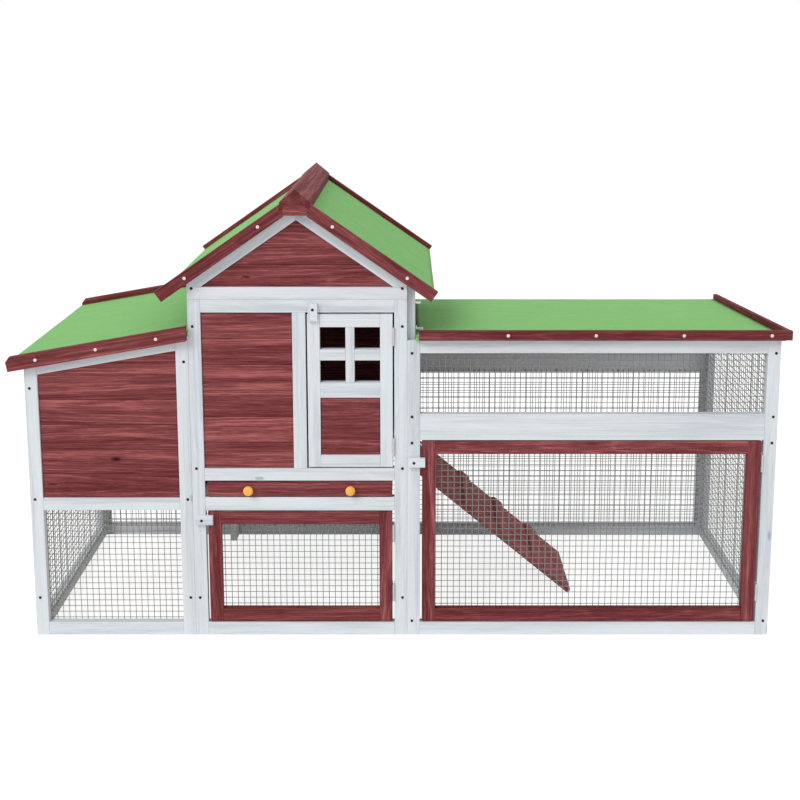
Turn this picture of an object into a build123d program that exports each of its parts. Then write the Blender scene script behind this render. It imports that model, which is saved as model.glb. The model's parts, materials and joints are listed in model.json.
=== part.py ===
from build123d import *
import math
import os

os.makedirs("parts", exist_ok=True)

# A rabbit hutch of three bays side by side: a lean-to nest box, a tower with a gable roof, and a wire run.
# Millimetres. X runs from the nest to the run, the front faces -Y, and Z = 0 is the ground.
# The origin is on the ground, below the middle of the whole hutch.

# Timber sections
post_width = 32
frame_thickness = 18
rail_height = 32
bottom_rail_height = 35
board_thickness = 10
board_height = 66
board_recess = 4
wall_thickness = 20
wall_leg_width = 45

# Bays, along X
nest_overhang = 37
nest_width = 409
tower_width = 541
run_width = 924
run_overhang = 19

# Depth, along Y
frame_depth = 606
roof_overhang = 22

# Heights on the frames
nest_mid_rail_z = 337
tray_rail_z = 336
tray_slot_height = 44
tower_top_z = 880
run_mid_rail_z = 521
run_mid_rail_height = 68

# Roofs: a pitch in degrees, and the height of the felt's top or of the rafters' outer ends
nest_pitch = 10
nest_roof_top = 801
gable_pitch = 35
gable_overhang = 75.5
rafter_heel = 15.5
run_pitch = 4.66
run_roof_top = 791
roof_board_thickness = 10
felt_thickness = 1.5
fascia_thickness = 12
nest_fascia_height = 37
nest_fascia_proud = 17
barge_height = 30
barge_proud = 12.3
run_fascia_height = 24
run_fascia_proud = 16
run_fascia_setback = 6
lid_clearance = 3
clipped_corner = 12
ridge_cap_half_width = 37.6
ridge_cap_side = 20
ridge_cap_rise = 10
apex_block_width = 59
apex_block_drop = 54

# Door and window in the tower
coop_door_width = 211
coop_door_gap = 4
coop_door_stile = 31
coop_door_top_rail = 33
coop_sill_rail = 39
coop_window_height = 141
coop_mullion = 22
coop_cross_bar = 28
coop_jamb_width = 33

# Wire doors
mesh_door_side_gap = 5.5
mesh_door_end_gap = 2.5
mesh_door_stile = 33
mesh_door_rail = 34

# Welded mesh
mesh_pitch = 15.6
wire = 1.8
mesh_lap = 8

# Tray and its runners
tray_side_gap = 6.5
tray_end_gap = 2.5
tray_depth = 560
tray_side_height = 22
tray_side_thickness = 12
tray_sheet = 1.2
tray_clearance = 0.3
tray_bearing = 15
joist_height = 20
knob_radius = 12.5
knob_length = 20
knob_neck_radius = 6
knob_neck_length = 6
knob_round = 2.5
knob_inset = 104

# Nest floor, ways through the tower's side walls, and ramp
nest_floor_thickness = 9
floor_batten_height = 12
floor_batten_width = 20
doorway_width = 200
doorway_boards = 3
doorway_y = 30
ramp_pitch = 39.9
ramp_thickness = 13
ramp_width = 230
cleat_pitch = 127
cleat_width = 45
cleat_height = 8
cleat_count = 4
hook_width = 18
hook_sheet = 1.5
hook_reach = 40
hook_bearing = 15

# Hardware
hinge_height = 46
lid_hinge_front_inset = 99
lid_hinge_back_inset = 54
hinge_barrel_radius = 2.6
hinge_pin_radius = 1.2
hinge_bore_clearance = 0.05
hinge_sheet = 1
hinge_leaf_length = 15
hinge_stand_off = 0.2
knuckle_gap = 0.2
button_length = 43
button_width = 23
button_thickness = 10
button_pivot = 15
button_clearance = 0.3
button_bore_clearance = 0.1
tower_button_inset = 9
run_button_inset = 15
run_button_drop = 56
screw_head_radius = 3.6
screw_head_height = 1.4
screw_radius = 1.75
screw_length = 16
button_screw_bite = 12
fascia_screw_head_radius = 4.2
fascia_screw_length = 10
screw_inset = 12
fascia_screw_count = 3
lid_screw_count = 4

# Lines that the pieces share
hutch_length = nest_overhang + nest_width + tower_width + run_width + run_overhang
roof_left_x = -hutch_length / 2
nest_x = roof_left_x + nest_overhang
tower_x = nest_x + nest_width
run_x = tower_x + tower_width
run_end_x = run_x + run_width
roof_right_x = run_end_x + run_overhang
tower_mid_x = (tower_x + run_x) / 2

front_y = -frame_depth / 2
front_in_y = front_y + frame_thickness
back_y = frame_depth / 2
back_in_y = back_y - frame_thickness
roof_front_y = front_y - roof_overhang
roof_back_y = back_y + roof_overhang
fascia_front_in_y = roof_front_y + fascia_thickness
fascia_back_in_y = roof_back_y - fascia_thickness

nest_opening_x = nest_x + post_width
nest_opening_end_x = tower_x - post_width
nest_wall_in_x = nest_x + frame_thickness
left_wall_in_x = tower_x + wall_thickness
right_wall_out_x = run_x + wall_thickness
tower_opening_x = tower_x + post_width
tower_opening_end_x = run_x - post_width
run_opening_x = run_x + post_width
run_opening_end_x = run_end_x - post_width
run_wall_in_x = run_end_x - frame_thickness

nest_floor_z = nest_mid_rail_z + rail_height
tray_slot_z = tray_rail_z + bottom_rail_height
tray_slot_end_z = tray_slot_z + tray_slot_height
room_z = tray_slot_end_z + rail_height
tower_rail_z = tower_top_z - rail_height
gable_base_z = tower_top_z + rail_height
run_mid_rail_end_z = run_mid_rail_z + run_mid_rail_height
roof_depth = felt_thickness + roof_board_thickness


def tan(angle):
    return math.tan(math.radians(angle))


def cos(angle):
    return math.cos(math.radians(angle))


def sin(angle):
    return math.sin(math.radians(angle))


# The barges' top edges meet at the ridge, above rafters that stand on the gable's base rail
ridge_z = (
    gable_base_z + rafter_heel + tower_width / 2 * tan(gable_pitch)
    + (barge_proud + roof_depth) / cos(gable_pitch)
)
ridge_cap_z = ridge_z + ridge_cap_rise


# Heights under each roof. Depth is measured square to the slope, down from the felt's top face.
def nest_roof_z(x, depth=0):
    return nest_roof_top - (tower_x - x) * tan(nest_pitch) - depth / cos(nest_pitch)


def gable_roof_z(x, depth=0):
    crown = ridge_z - (barge_proud + depth) / cos(gable_pitch)
    return crown - abs(x - tower_mid_x) * tan(gable_pitch)


def run_roof_z(y, depth=0):
    return run_roof_top - (y - roof_front_y) * tan(run_pitch) - depth / cos(run_pitch)


# Ways to make a piece: a flat outline given a thickness along Y or X, or a plain squared block
def rect(low_u, high_u, low_v, high_v):
    return Pos((low_u + high_u) / 2, (low_v + high_v) / 2) * Rectangle(high_u - low_u, high_v - low_v)


def outline(*points):
    return make_face(Polyline(*points, close=True))


def along_y(face, low_y, high_y):
    """A piece with an outline in X and Z."""
    return extrude(Plane((0, high_y, 0), x_dir=(1, 0, 0), z_dir=(0, -1, 0)) * face, high_y - low_y)


def along_x(face, low_x, high_x):
    """A piece with an outline in Y and Z."""
    return extrude(Plane((low_x, 0, 0), x_dir=(0, 1, 0), z_dir=(1, 0, 0)) * face, high_x - low_x)


def block(low_x, high_x, low_y, high_y, low_z, high_z):
    return along_y(rect(low_x, high_x, low_z, high_z), low_y, high_y)


def save(name, pieces):
    solids = [solid for piece in pieces for solid in piece.solids()]
    export_step(Compound(children=solids), f"parts/{name}.step")


def rows(region, low_z, high_z):
    """The outlines of level boards, one above the other, that fill a region."""
    count = max(1, round((high_z - low_z) / board_height))
    height = (high_z - low_z) / count
    box = region.bounding_box()
    faces = []
    for row in range(count):
        strip = rect(box.min.X - 1, box.max.X + 1, low_z + row * height, low_z + (row + 1) * height)
        faces += (region & strip).faces()
    return faces


# Welded mesh: wires one way on the face that carries the sheet, and the others across them
def wire_places(low, high):
    count = math.floor((high - low) / mesh_pitch)
    first = (low + high - count * mesh_pitch) / 2
    return [first + place * mesh_pitch for place in range(count + 1)]


def mesh_along_y(low_x, high_x, low_z, high_z, face_y, inward):
    """A sheet over an opening in X and Z, on the face of its frame at face_y."""
    middle_y = face_y + inward * wire
    uprights = [
        block(x - wire / 2, x + wire / 2, min(face_y, middle_y), max(face_y, middle_y),
              low_z - mesh_lap, high_z + mesh_lap)
        for x in wire_places(low_x, high_x)
    ]
    outer_y = middle_y + inward * wire
    levels = [
        block(low_x - mesh_lap, high_x + mesh_lap, min(middle_y, outer_y), max(middle_y, outer_y),
              z - wire / 2, z + wire / 2)
        for z in wire_places(low_z, high_z)
    ]
    return uprights + levels


def mesh_along_x(low_y, high_y, low_z, high_z, fall, face_x, inward):
    """A sheet over an opening in Y and Z whose top falls towards the back."""
    middle_x = face_x + inward * wire
    uprights = [
        block(min(face_x, middle_x), max(face_x, middle_x), y - wire / 2, y + wire / 2,
              low_z - mesh_lap, high_z + mesh_lap - (y - low_y) * fall)
        for y in wire_places(low_y, high_y)
    ]
    outer_x = middle_x + inward * wire
    levels = []
    for z in wire_places(low_z, high_z):
        end_y = high_y + mesh_lap
        if fall > 0:
            end_y = min(end_y, low_y + (high_z + mesh_lap - z) / fall)
        levels.append(
            block(min(middle_x, outer_x), max(middle_x, outer_x), low_y - mesh_lap, end_y,
                  z - wire / 2, z + wire / 2)
        )
    return uprights + levels


# Nest box: posts and a sloped top rail under a lean-to roof, boards above the floor and mesh below
nest_rail_z = nest_roof_z(nest_x, roof_depth) - rail_height


def nest_post(low_x, high_x, low_y, high_y):
    top = nest_roof_z(low_x, roof_depth), nest_roof_z(high_x, roof_depth)
    return along_y(outline((low_x, 0), (high_x, 0), (high_x, top[1]), (low_x, top[0])), low_y, high_y)


def nest_frame(low_y, high_y):
    lower = roof_depth + rail_height
    left, right = nest_opening_x, nest_opening_end_x
    sloped_rail = outline(
        (left, nest_roof_z(left, lower)),
        (right, nest_roof_z(right, lower)),
        (right, nest_roof_z(right, roof_depth)),
        (left, nest_roof_z(left, roof_depth)),
    )
    return [
        nest_post(nest_x, left, low_y, high_y),
        nest_post(right, tower_x, low_y, high_y),
        block(left, right, low_y, high_y, 0, bottom_rail_height),
        block(left, right, low_y, high_y, nest_mid_rail_z, nest_floor_z),
        along_y(sloped_rail, low_y, high_y),
    ]


def nest_boards(low_y, high_y):
    lower = roof_depth + rail_height
    left, right = nest_opening_x, nest_opening_end_x
    region = outline(
        (left, nest_floor_z),
        (right, nest_floor_z),
        (right, nest_roof_z(right, lower)),
        (left, nest_roof_z(left, lower)),
    )
    high_z = nest_roof_z(right, lower)
    return [along_y(face, low_y, high_y) for face in rows(region, nest_floor_z, high_z)]


save("nest_front_frame", nest_frame(front_y, front_in_y))
save("nest_back_frame", nest_frame(back_in_y, back_y))
save("nest_front_boards", nest_boards(front_y + board_recess, front_y + board_recess + board_thickness))
save("nest_back_boards", nest_boards(back_y - board_recess - board_thickness, back_y - board_recess))

nest_side_y = front_in_y + post_width
nest_side_end_y = back_in_y - post_width
nest_side_top = outline(
    (nest_x, nest_rail_z),
    (nest_wall_in_x, nest_rail_z),
    (nest_wall_in_x, nest_roof_z(nest_wall_in_x, roof_depth)),
    (nest_x, nest_roof_z(nest_x, roof_depth)),
)
save("nest_side_frame", [
    nest_post(nest_x, nest_wall_in_x, front_in_y, nest_side_y),
    nest_post(nest_x, nest_wall_in_x, nest_side_end_y, back_in_y),
    block(nest_x, nest_wall_in_x, nest_side_y, nest_side_end_y, 0, bottom_rail_height),
    block(nest_x, nest_wall_in_x, nest_side_y, nest_side_end_y, nest_mid_rail_z, nest_floor_z),
    along_y(nest_side_top, nest_side_y, nest_side_end_y),
])
nest_side_region = rect(nest_side_y, nest_side_end_y, nest_floor_z, nest_rail_z)
nest_side_board_x = nest_x + board_recess
save("nest_side_boards", [
    along_x(face, nest_side_board_x, nest_side_board_x + board_thickness)
    for face in rows(nest_side_region, nest_floor_z, nest_rail_z)
])
save("nest_mesh",
    mesh_along_y(nest_opening_x, nest_opening_end_x, bottom_rail_height, nest_mid_rail_z, front_in_y, 1)
    + mesh_along_y(nest_opening_x, nest_opening_end_x, bottom_rail_height, nest_mid_rail_z, back_in_y, -1)
    + mesh_along_x(nest_side_y, nest_side_end_y, bottom_rail_height, nest_mid_rail_z, 0, nest_wall_in_x, 1)
)

# Nest floor: a sheet of board on two battens, between the frames and the tower's wall
nest_floor_under_z = nest_floor_z - nest_floor_thickness
floor_batten_z = nest_floor_under_z - floor_batten_height
save("nest_floor", [
    block(nest_wall_in_x, tower_x, front_in_y, back_in_y, nest_floor_under_z, nest_floor_z),
    block(nest_opening_x, nest_opening_end_x, front_in_y, front_in_y + floor_batten_width,
          floor_batten_z, nest_floor_under_z),
    block(nest_opening_x, nest_opening_end_x, back_in_y - floor_batten_width, back_in_y,
          floor_batten_z, nest_floor_under_z),
])


# Nest roof. A band lies between two depths under the felt's top face, and its low end is cut square.
def nest_band(top_depth, under_depth, low_x):
    drop = under_depth - top_depth
    top_z = nest_roof_z(low_x, top_depth)
    return outline(
        (low_x, top_z),
        (low_x + drop * sin(nest_pitch), top_z - drop * cos(nest_pitch)),
        (tower_x, nest_roof_z(tower_x, under_depth)),
        (tower_x, nest_roof_z(tower_x, top_depth)),
    )


def nest_fascia():
    """A band with its low top corner clipped, so that the clip's foot is the hutch's left end."""
    corner_x = roof_left_x - clipped_corner * sin(nest_pitch)
    corner_z = nest_roof_z(corner_x, -nest_fascia_proud)
    clip_start = corner_x + clipped_corner * cos(nest_pitch)
    clip = outline(
        (corner_x, corner_z),
        (clip_start, nest_roof_z(clip_start, -nest_fascia_proud)),
        (corner_x + clipped_corner * sin(nest_pitch), corner_z - clipped_corner * cos(nest_pitch)),
    )
    return nest_band(-nest_fascia_proud, nest_fascia_height - nest_fascia_proud, corner_x) - clip


nest_board_face = nest_band(felt_thickness, roof_depth, roof_left_x)
nest_felt_face = nest_band(0, felt_thickness, roof_left_x)
save("nest_roof_panel", [along_y(nest_board_face, fascia_front_in_y, fascia_back_in_y)])
save("nest_roof_felt", [along_y(nest_felt_face, fascia_front_in_y, fascia_back_in_y)])
save("nest_roof_fascias", [
    along_y(nest_fascia(), roof_front_y, fascia_front_in_y),
    along_y(nest_fascia(), fascia_back_in_y, roof_back_y),
])

# Tower front: jamb between the boarded panel and the door, tray slot under both, wire door below
coop_door_x = tower_opening_end_x - coop_door_gap - coop_door_width
coop_door_end_x = tower_opening_end_x - coop_door_gap
jamb_end_x = coop_door_x - coop_door_gap
jamb_x = jamb_end_x - coop_jamb_width
save("tower_front_frame", [
    block(tower_x, tower_opening_x, front_y, front_in_y, 0, tower_top_z),
    block(tower_opening_end_x, run_x, front_y, front_in_y, 0, tower_top_z),
    block(tower_opening_x, tower_opening_end_x, front_y, front_in_y, 0, bottom_rail_height),
    block(tower_opening_x, tower_opening_end_x, front_y, front_in_y, tray_rail_z, tray_slot_z),
    block(tower_opening_x, tower_opening_end_x, front_y, front_in_y, tray_slot_end_z, room_z),
    block(tower_opening_x, tower_opening_end_x, front_y, front_in_y, tower_rail_z, tower_top_z),
    block(jamb_x, jamb_end_x, front_y, front_in_y, room_z, tower_rail_z),
])
front_region = rect(tower_opening_x, jamb_x, room_z, tower_rail_z)
save("tower_front_boards", [
    along_y(face, front_y + board_recess, front_y + board_recess + board_thickness)
    for face in rows(front_region, room_z, tower_rail_z)
])

# Tower back: the same posts, boards over the whole width, mesh below
save("tower_back_frame", [
    block(tower_x, tower_opening_x, back_in_y, back_y, 0, tower_top_z),
    block(tower_opening_end_x, run_x, back_in_y, back_y, 0, tower_top_z),
    block(tower_opening_x, tower_opening_end_x, back_in_y, back_y, 0, bottom_rail_height),
    block(tower_opening_x, tower_opening_end_x, back_in_y, back_y, tray_rail_z, tray_slot_z),
    block(tower_opening_x, tower_opening_end_x, back_in_y, back_y, tower_rail_z, tower_top_z),
])
back_region = rect(tower_opening_x, tower_opening_end_x, tray_slot_z, tower_rail_z)
save("tower_back_boards", [
    along_y(face, back_y - board_recess - board_thickness, back_y - board_recess)
    for face in rows(back_region, tray_slot_z, tower_rail_z)
])
save("tower_back_mesh",
    mesh_along_y(tower_opening_x, tower_opening_end_x, bottom_rail_height, tray_rail_z, back_in_y, -1)
)

# Tower side walls: two legs to the ground, a rail at the tray's level and one under the eaves, and boards
# nailed flush with the outer face, with a doorway through them. Below the rail a rabbit walks under.
wall_y = front_in_y + wall_leg_width
wall_end_y = back_in_y - wall_leg_width
left_wall_top_z = gable_roof_z(tower_x, roof_depth)
right_wall_top_z = gable_roof_z(right_wall_out_x, roof_depth)


def wall_piece(low_x, low_y, high_y, low_z):
    high_x = low_x + wall_thickness
    top = gable_roof_z(low_x, roof_depth), gable_roof_z(high_x, roof_depth)
    return along_y(outline((low_x, low_z), (high_x, low_z), (high_x, top[1]), (low_x, top[0])), low_y, high_y)


def wall_frame(low_x, top_z):
    return [
        wall_piece(low_x, front_in_y, wall_y, 0),
        wall_piece(low_x, wall_end_y, back_in_y, 0),
        wall_piece(low_x, wall_y, wall_end_y, top_z - rail_height),
        block(low_x, low_x + wall_thickness, wall_y, wall_end_y, tray_rail_z, tray_slot_z),
    ]


def wall_boards(low_x, top_z):
    high_z = top_z - rail_height
    count = max(1, round((high_z - tray_slot_z) / board_height))
    doorway_z = tray_slot_z + doorway_boards * (high_z - tray_slot_z) / count
    region = rect(wall_y, wall_end_y, tray_slot_z, high_z) - rect(
        doorway_y - doorway_width / 2, doorway_y + doorway_width / 2, tray_slot_z, doorway_z
    )
    return [along_x(face, low_x, low_x + board_thickness) for face in rows(region, tray_slot_z, high_z)]


save("tower_wall_frames", wall_frame(tower_x, left_wall_top_z) + wall_frame(run_x, right_wall_top_z))
save("tower_wall_boards",
    wall_boards(tower_x, left_wall_top_z)
    + wall_boards(right_wall_out_x - board_thickness, right_wall_top_z)
)


# Gables: a base rail, two rafters that meet at the ridge, and short boards between them
def gable_frame(low_y, high_y):
    pieces = [block(tower_x, run_x, low_y, high_y, tower_top_z, gable_base_z)]
    for end_x in (tower_x, run_x):
        side = math.copysign(1, end_x - tower_mid_x)
        crown_z = gable_roof_z(tower_mid_x, roof_depth + rail_height)
        foot_x = tower_mid_x + side * (crown_z - gable_base_z) / tan(gable_pitch)
        rafter = outline(
            (tower_mid_x, gable_roof_z(tower_mid_x, roof_depth)),
            (end_x, gable_roof_z(end_x, roof_depth)),
            (end_x, gable_base_z),
            (foot_x, gable_base_z),
            (tower_mid_x, crown_z),
        )
        pieces.append(along_y(rafter, low_y, high_y))
    return pieces


def gable_boards(low_y, high_y):
    crown_z = gable_roof_z(tower_mid_x, roof_depth + rail_height)
    half_base = (crown_z - gable_base_z) / tan(gable_pitch)
    region = outline(
        (tower_mid_x - half_base, gable_base_z),
        (tower_mid_x + half_base, gable_base_z),
        (tower_mid_x, crown_z),
    )
    return [along_y(face, low_y, high_y) for face in rows(region, gable_base_z, crown_z)]


save("gable_frames", gable_frame(front_y, front_in_y) + gable_frame(back_in_y, back_y))
save("gable_boards",
    gable_boards(front_y + board_recess, front_y + board_recess + board_thickness)
    + gable_boards(back_y - board_recess - board_thickness, back_y - board_recess)
)

# Gable roof. A band lies between two depths under the barge's top edge, and its eave is cut square.
eave_reach = tower_width / 2 + gable_overhang
felt_line_z = gable_roof_z(tower_mid_x)


def eave_corner(depth, side):
    """The eave end of a band's edge: straight down, square to the slope, from the barge's tip."""
    tip_z = ridge_z - eave_reach * tan(gable_pitch)
    return tower_mid_x + side * (eave_reach - depth * sin(gable_pitch)), tip_z - depth * cos(gable_pitch)


def gable_band(top_depth, under_depth, side):
    return outline(
        (tower_mid_x, ridge_z - top_depth / cos(gable_pitch)),
        eave_corner(top_depth, side),
        eave_corner(under_depth, side),
        (tower_mid_x, ridge_z - under_depth / cos(gable_pitch)),
    )


def barge(side):
    """A barge board, cut plumb at the apex block and notched under the ridge cap."""
    block_x = apex_block_width / 2
    cap_x = ridge_cap_half_width
    slope = tan(gable_pitch)
    return outline(
        (tower_mid_x + side * block_x, felt_line_z - block_x * slope),
        (tower_mid_x + side * cap_x, felt_line_z - cap_x * slope),
        (tower_mid_x + side * cap_x, ridge_z - cap_x * slope),
        eave_corner(0, side),
        eave_corner(barge_height, side),
        (tower_mid_x + side * block_x, ridge_z - barge_height / cos(gable_pitch) - block_x * slope),
    )


panel_depth = barge_proud + felt_thickness
panel_under = panel_depth + roof_board_thickness
save("gable_roof_panels", [
    along_y(gable_band(panel_depth, panel_under, side), fascia_front_in_y, fascia_back_in_y)
    for side in (-1, 1)
])
save("gable_roof_felt", [
    along_y(gable_band(barge_proud, panel_depth, side), fascia_front_in_y, fascia_back_in_y)
    for side in (-1, 1)
])
save("barge_boards", [
    along_y(barge(side), low_y, low_y + fascia_thickness)
    for side in (-1, 1)
    for low_y in (roof_front_y, fascia_back_in_y)
])
apex_face = outline(
    (tower_mid_x - apex_block_width / 2, ridge_z - apex_block_drop),
    (tower_mid_x + apex_block_width / 2, ridge_z - apex_block_drop),
    (tower_mid_x + apex_block_width / 2, felt_line_z - apex_block_width / 2 * tan(gable_pitch)),
    (tower_mid_x, felt_line_z),
    (tower_mid_x - apex_block_width / 2, felt_line_z - apex_block_width / 2 * tan(gable_pitch)),
)
save("apex_blocks", [
    along_y(apex_face, roof_front_y, fascia_front_in_y),
    along_y(apex_face, fascia_back_in_y, roof_back_y),
])
cap_foot_z = felt_line_z - ridge_cap_half_width * tan(gable_pitch)
cap_face = outline(
    (tower_mid_x, felt_line_z),
    (tower_mid_x + ridge_cap_half_width, cap_foot_z),
    (tower_mid_x + ridge_cap_half_width, cap_foot_z + ridge_cap_side),
    (tower_mid_x, ridge_cap_z),
    (tower_mid_x - ridge_cap_half_width, cap_foot_z + ridge_cap_side),
    (tower_mid_x - ridge_cap_half_width, cap_foot_z),
)
save("ridge_cap", [along_y(cap_face, roof_front_y, roof_back_y)])

# Tray runners: two joists from the front frame to the back one, just inside the tray's edges
tray_x = tower_opening_x + tray_side_gap
tray_end_x = tower_opening_end_x - tray_side_gap
joist_z = tray_slot_z - joist_height
save("tray_runners", [
    block(tray_x, tray_x + tray_bearing, front_in_y, back_in_y, joist_z, tray_slot_z),
    block(tray_end_x - tray_bearing, tray_end_x, front_in_y, back_in_y, joist_z, tray_slot_z),
])

# Tray: a sheet-metal base under a wood rim, with the red front board and two knobs
tray_z = tray_slot_z + tray_clearance
tray_rim_z = tray_z + tray_sheet
tray_rim_end_z = tray_rim_z + tray_side_height
tray_back_y = front_in_y + tray_depth
save("tray_front", [
    block(tray_x, tray_end_x, front_y, front_in_y, tray_slot_z + tray_end_gap, tray_slot_end_z - tray_end_gap)
])
save("tray_base", [block(tray_x, tray_end_x, front_in_y, tray_back_y, tray_z, tray_rim_z)])
save("tray_rim", [
    block(tray_x, tray_x + tray_side_thickness, front_in_y, tray_back_y, tray_rim_z, tray_rim_end_z),
    block(tray_end_x - tray_side_thickness, tray_end_x, front_in_y, tray_back_y, tray_rim_z, tray_rim_end_z),
    block(tray_x + tray_side_thickness, tray_end_x - tray_side_thickness,
          tray_back_y - tray_side_thickness, tray_back_y, tray_rim_z, tray_rim_end_z),
])
knob_z = (tray_slot_z + tray_slot_end_z) / 2
knob_profile = outline(
    (0, 0),
    (knob_neck_radius, 0),
    (knob_neck_radius, knob_neck_length),
    (knob_radius - knob_round, knob_neck_length + knob_round),
    (knob_radius, knob_neck_length + 2 * knob_round),
    (knob_radius, knob_length - 2 * knob_round),
    (knob_radius - knob_round, knob_length - knob_round / 2),
    (knob_neck_radius, knob_length),
    (0, knob_length),
)
save("tray_knobs", [
    Plane((x, front_y, knob_z), x_dir=(1, 0, 0), z_dir=(0, -1, 0))
    * revolve(Plane.XZ * knob_profile, Axis.Z)
    for x in (tray_x + knob_inset, tray_end_x - knob_inset)
])


# Run: front frame with a high window and a door below it, a wire side wall and a wire back
def run_bar(low_x, high_x, low_y, high_y, low_z):
    """A timber that reaches up to the sloping roof board."""
    profile = outline(
        (low_y, low_z),
        (high_y, low_z),
        (high_y, run_roof_z(high_y, roof_depth)),
        (low_y, run_roof_z(low_y, roof_depth)),
    )
    return along_x(profile, low_x, high_x)


def run_frame(low_y, high_y):
    top_rail_z = run_roof_z((low_y + high_y) / 2, roof_depth) - rail_height
    return [
        run_bar(run_x, run_opening_x, low_y, high_y, 0),
        run_bar(run_opening_end_x, run_end_x, low_y, high_y, 0),
        run_bar(run_opening_x, run_opening_end_x, low_y, high_y, top_rail_z),
        block(run_opening_x, run_opening_end_x, low_y, high_y, run_mid_rail_z, run_mid_rail_end_z),
        block(run_opening_x, run_opening_end_x, low_y, high_y, 0, bottom_rail_height),
    ]


run_front_window_z = run_roof_z((front_y + front_in_y) / 2, roof_depth) - rail_height
run_back_window_z = run_roof_z((back_y + back_in_y) / 2, roof_depth) - rail_height
run_side_y = front_in_y + post_width
run_side_end_y = back_in_y - post_width
side_rail_under = roof_depth + rail_height
side_top_rail = outline(
    (run_side_y, run_roof_z(run_side_y, side_rail_under)),
    (run_side_end_y, run_roof_z(run_side_end_y, side_rail_under)),
    (run_side_end_y, run_roof_z(run_side_end_y, roof_depth)),
    (run_side_y, run_roof_z(run_side_y, roof_depth)),
)
save("run_front_frame", run_frame(front_y, front_in_y))
save("run_back_frame", run_frame(back_in_y, back_y))
save("run_side_frame", [
    run_bar(run_wall_in_x, run_end_x, front_in_y, run_side_y, 0),
    run_bar(run_wall_in_x, run_end_x, run_side_end_y, back_in_y, 0),
    block(run_wall_in_x, run_end_x, run_side_y, run_side_end_y, 0, bottom_rail_height),
    along_x(side_top_rail, run_wall_in_x, run_end_x),
])
save("run_mesh",
    mesh_along_y(run_opening_x, run_opening_end_x, run_mid_rail_end_z, run_front_window_z, front_in_y, 1)
    + mesh_along_y(run_opening_x, run_opening_end_x, run_mid_rail_end_z, run_back_window_z, back_in_y, -1)
    + mesh_along_y(run_opening_x, run_opening_end_x, bottom_rail_height, run_mid_rail_z, back_in_y, -1)
    + mesh_along_x(run_side_y, run_side_end_y, bottom_rail_height, run_roof_z(run_side_y, side_rail_under),
                   tan(run_pitch), run_wall_in_x, -1)
)

# Ramp: a board from the tower's sill to the ground, cut plumb against the wall, with cleats and two hooks
ramp_x = right_wall_out_x
ramp_top_z = tray_slot_z
ramp_under_z = ramp_top_z - ramp_thickness / cos(ramp_pitch)
ramp_foot_x = ramp_x + ramp_under_z / tan(ramp_pitch)
ramp_low_y = doorway_y - ramp_width / 2
ramp_high_y = doorway_y + ramp_width / 2
ramp_face = outline(
    (ramp_x, ramp_top_z),
    (ramp_x, ramp_under_z),
    (ramp_foot_x, 0),
    (ramp_foot_x + ramp_thickness * sin(ramp_pitch), ramp_thickness * cos(ramp_pitch)),
)


def on_ramp(along, above):
    """A point at a distance down the ramp's upper face, and above it."""
    return (
        ramp_x + along * cos(ramp_pitch) + above * sin(ramp_pitch),
        ramp_top_z - along * sin(ramp_pitch) + above * cos(ramp_pitch),
    )


def cleat(middle):
    return outline(
        on_ramp(middle - cleat_width / 2, 0),
        on_ramp(middle + cleat_width / 2, 0),
        on_ramp(middle + cleat_width / 2 - cleat_height, cleat_height),
        on_ramp(middle - cleat_width / 2 + cleat_height, cleat_height),
    )


save("ramp_board", [along_y(ramp_face, ramp_low_y, ramp_high_y)])
save("ramp_cleats", [
    along_y(cleat(cleat_pitch * (0.5 + place)), ramp_low_y, ramp_high_y) for place in range(cleat_count)
])
hook_face = outline(
    (ramp_x - hook_bearing, ramp_top_z),
    (ramp_x, ramp_top_z),
    on_ramp(hook_reach, 0),
    on_ramp(hook_reach, hook_sheet),
    (ramp_x + hook_sheet * tan(ramp_pitch / 2), ramp_top_z + hook_sheet),
    (ramp_x - hook_bearing, ramp_top_z + hook_sheet),
)
save("ramp_hooks", [
    along_y(hook_face, y - hook_width / 2, y + hook_width / 2)
    for y in (doorway_y - doorway_width / 2 + hook_width, doorway_y + doorway_width / 2 - hook_width)
])

# Run roof: one lid, hinged along the tower's wall, with a fascia at the front and one at the right
lid_x = right_wall_out_x + lid_clearance
lid_fascia_x = roof_right_x - fascia_thickness


def lid_profile(top_depth, under_depth, low_y, high_y):
    return outline(
        (low_y, run_roof_z(low_y, under_depth)),
        (high_y, run_roof_z(high_y, under_depth)),
        (high_y, run_roof_z(high_y, top_depth)),
        (low_y, run_roof_z(low_y, top_depth)),
    )


lid_board = lid_profile(felt_thickness, roof_depth, fascia_front_in_y, roof_back_y)
lid_felt = lid_profile(0, felt_thickness, fascia_front_in_y, roof_back_y)
fascia_under = run_fascia_height - run_fascia_proud
fascia_low_z = run_roof_top - fascia_under
fascia_high_z = run_roof_top + run_fascia_proud
front_fascia = rect(lid_x + run_fascia_setback, roof_right_x, fascia_low_z, fascia_high_z)
side_fascia = lid_profile(-run_fascia_proud, fascia_under, fascia_front_in_y, roof_back_y)
save("run_roof_panel", [along_x(lid_board, lid_x, lid_fascia_x)])
save("run_roof_felt", [along_x(lid_felt, lid_x, lid_fascia_x)])
save("run_roof_fascias", [
    along_y(front_fascia, roof_front_y, fascia_front_in_y),
    along_x(side_fascia, lid_fascia_x, roof_right_x),
])


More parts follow.
